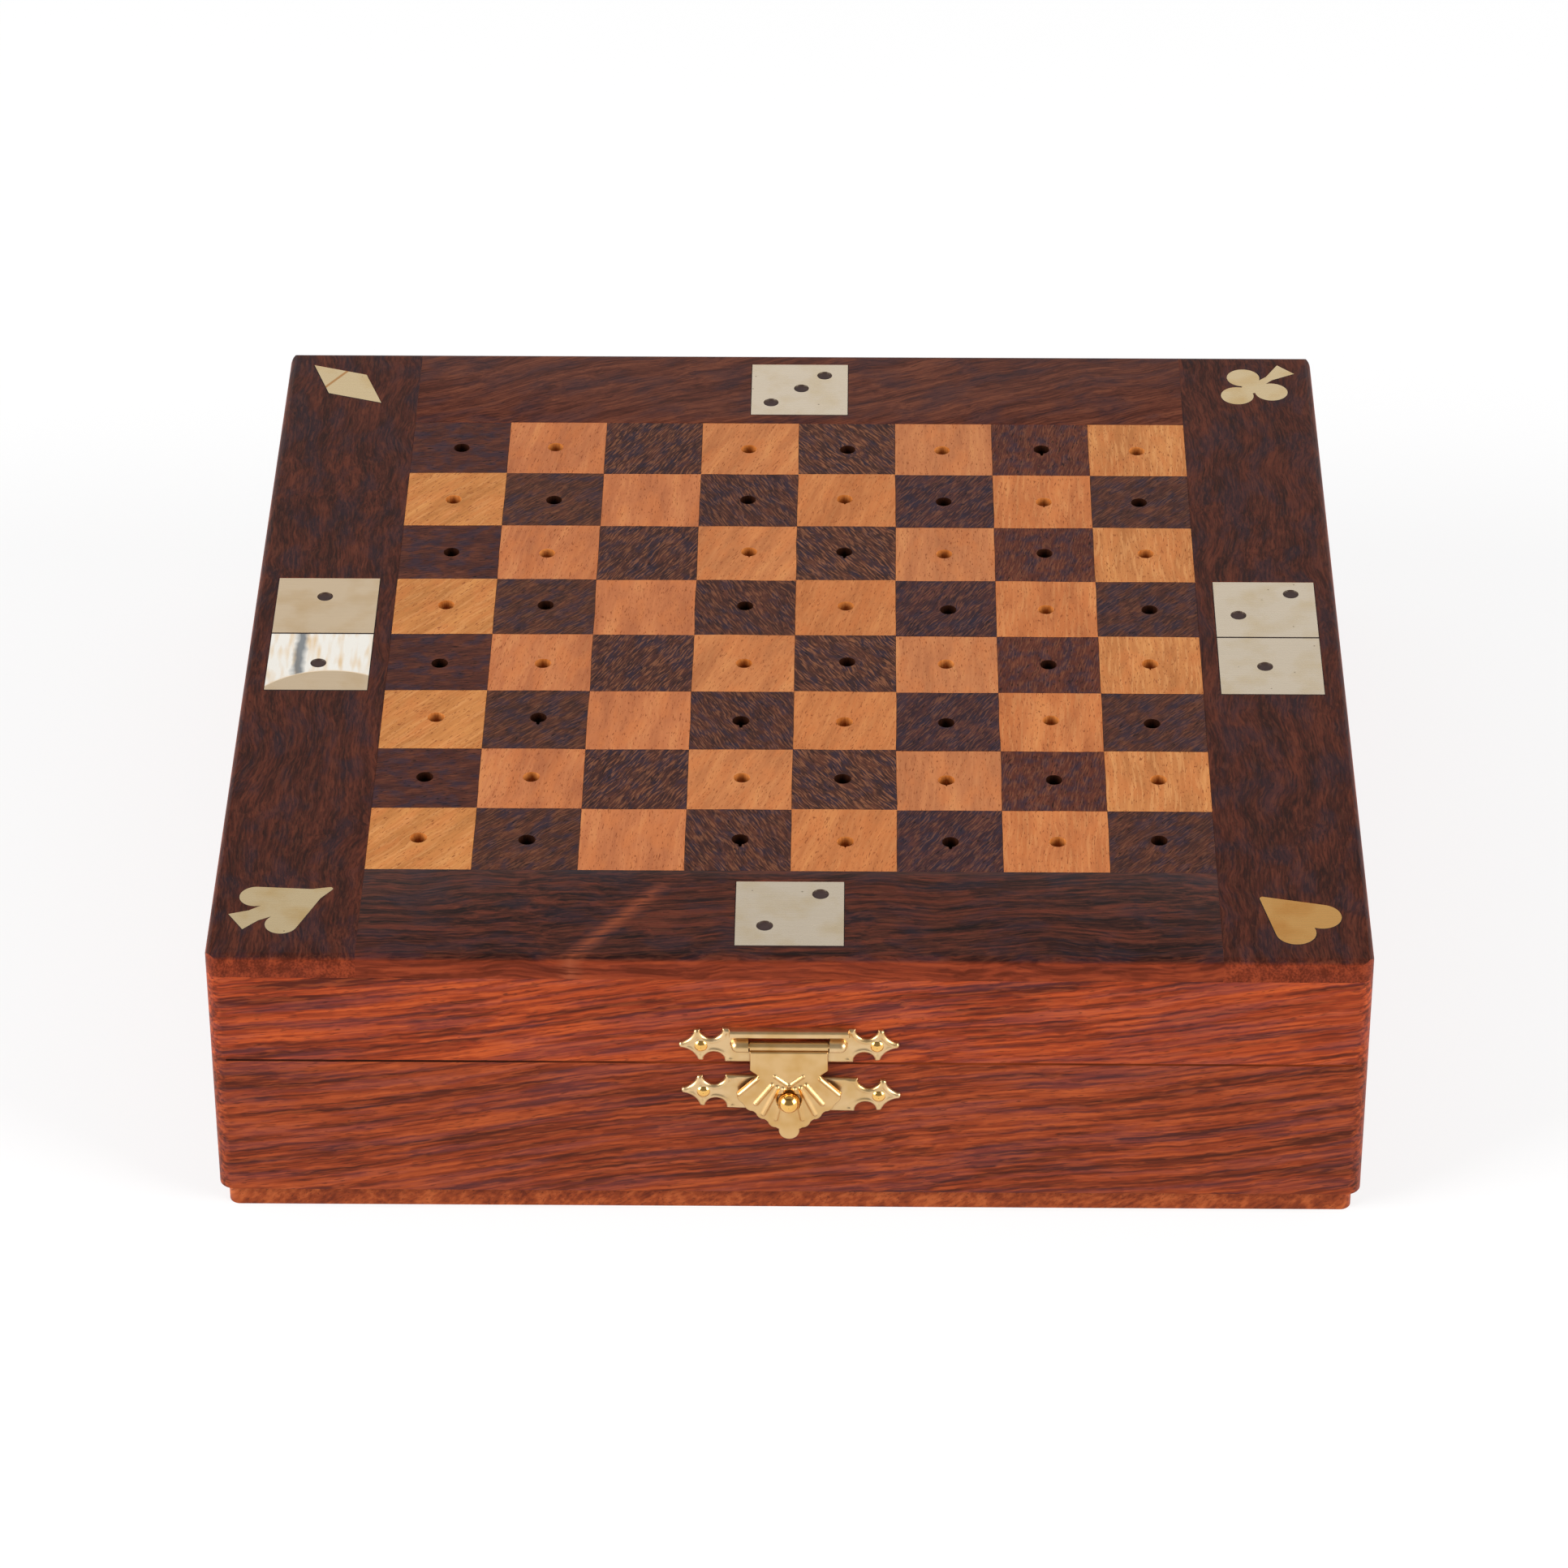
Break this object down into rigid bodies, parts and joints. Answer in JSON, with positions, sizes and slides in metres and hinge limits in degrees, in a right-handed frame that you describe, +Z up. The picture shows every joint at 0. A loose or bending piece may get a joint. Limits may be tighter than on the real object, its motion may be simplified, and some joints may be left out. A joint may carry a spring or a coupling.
{
  "type": "games compendium box",
  "caption": "Square wooden travel games box: pegged chess board lid with brass inlays, pressed brass hasp, partitioned tray with chessmen, dominoes, cards and dice.",
  "frame": {"origin": "centre of the underside, on the table", "axes": "+X to the right seen from the front, +Y from the hasp's side to the hinges' side, +Z up through the board"},
  "size_m": [0.178, 0.1853, 0.049],
  "materials": {
    "rosewood": "oiled, satin",
    "bottom_wood": "oiled, satin",
    "divider_wood": "oiled, satin",
    "border_wood": "oiled, satin",
    "dark_square_wood": "oiled, satin",
    "light_square_wood": "oiled, satin",
    "backing_wood": "plain",
    "green_felt": "matt",
    "inlay_brass": "brushed",
    "pip_filling": "matt",
    "hinge_brass": "polished",
    "steel_pin": "plain",
    "latch_brass": "polished, lacquered",
    "card_paper": "smooth",
    "domino_wood": "waxed",
    "dice_resin": "glossy",
    "light_men_wood": "lacquered",
    "dark_men_wood": "lacquered"
  },
  "bodies": {
    "base": {"base_front_board": "rosewood", "base_back_board": "rosewood", "base_left_board": "rosewood", "base_right_board": "rosewood", "bottom_panel": "bottom_wood", "base_lining": "green_felt", "long_partition": "divider_wood", "column_partition": "divider_wood", "cards_partition": "divider_wood", "chessmen_partition": "divider_wood", "hinge_left_base_leaf": "hinge_brass", "hinge_right_base_leaf": "hinge_brass", "hinge_pins": "steel_pin", "hinge_base_screws": "hinge_brass", "latch_lower_plate": "latch_brass", "latch_stud": "latch_brass", "latch_lower_nails": "latch_brass", "card_pack": "card_paper", "dominoes": "domino_wood", "dice": "dice_resin", "light_pawns": "light_men_wood", "light_rooks": "light_men_wood", "light_knights": "light_men_wood", "light_bishops": "light_men_wood", "light_queen": "light_men_wood", "light_king": "light_men_wood", "dark_pawns": "dark_men_wood", "dark_rooks": "dark_men_wood", "dark_knights": "dark_men_wood", "dark_bishops": "dark_men_wood", "dark_queen": "dark_men_wood", "dark_king": "dark_men_wood"},
    "lid": {"lid_front_rail": "rosewood", "lid_back_rail": "rosewood", "lid_left_rail": "rosewood", "lid_right_rail": "rosewood", "top_border_left": "border_wood", "top_border_right": "border_wood", "top_border_front": "border_wood", "top_border_back": "border_wood", "light_squares": "light_square_wood", "dark_squares": "dark_square_wood", "lid_backing_panel": "backing_wood", "lid_lining": "green_felt", "inlay_diamond": "inlay_brass", "inlay_club": "inlay_brass", "inlay_heart": "inlay_brass", "inlay_spade": "inlay_brass", "inlay_die_back": "inlay_brass", "inlay_die_front": "inlay_brass", "inlay_domino_left": "inlay_brass", "inlay_domino_right": "inlay_brass", "inlay_pips": "pip_filling", "hinge_left_lid_leaf": "hinge_brass", "hinge_right_lid_leaf": "hinge_brass", "hinge_lid_screws": "hinge_brass", "latch_upper_plate": "latch_brass", "latch_upper_nails": "latch_brass"},
    "latch_flap": {"latch_flap": "latch_brass"}
  },
  "joints": [
    {"name": "lid_hinge", "type": "hinge", "parent": "base", "child": "lid", "pos_m": [0, 0.0909, 0.0292], "axis": [-1, 0, 0], "range_deg": [0, 180]},
    {"name": "latch_hinge", "type": "hinge", "parent": "lid", "child": "latch_flap", "pos_m": [0, -0.09, 0.0332], "axis": [-1, 0, 0], "range_deg": [0, 130]}
  ]
}
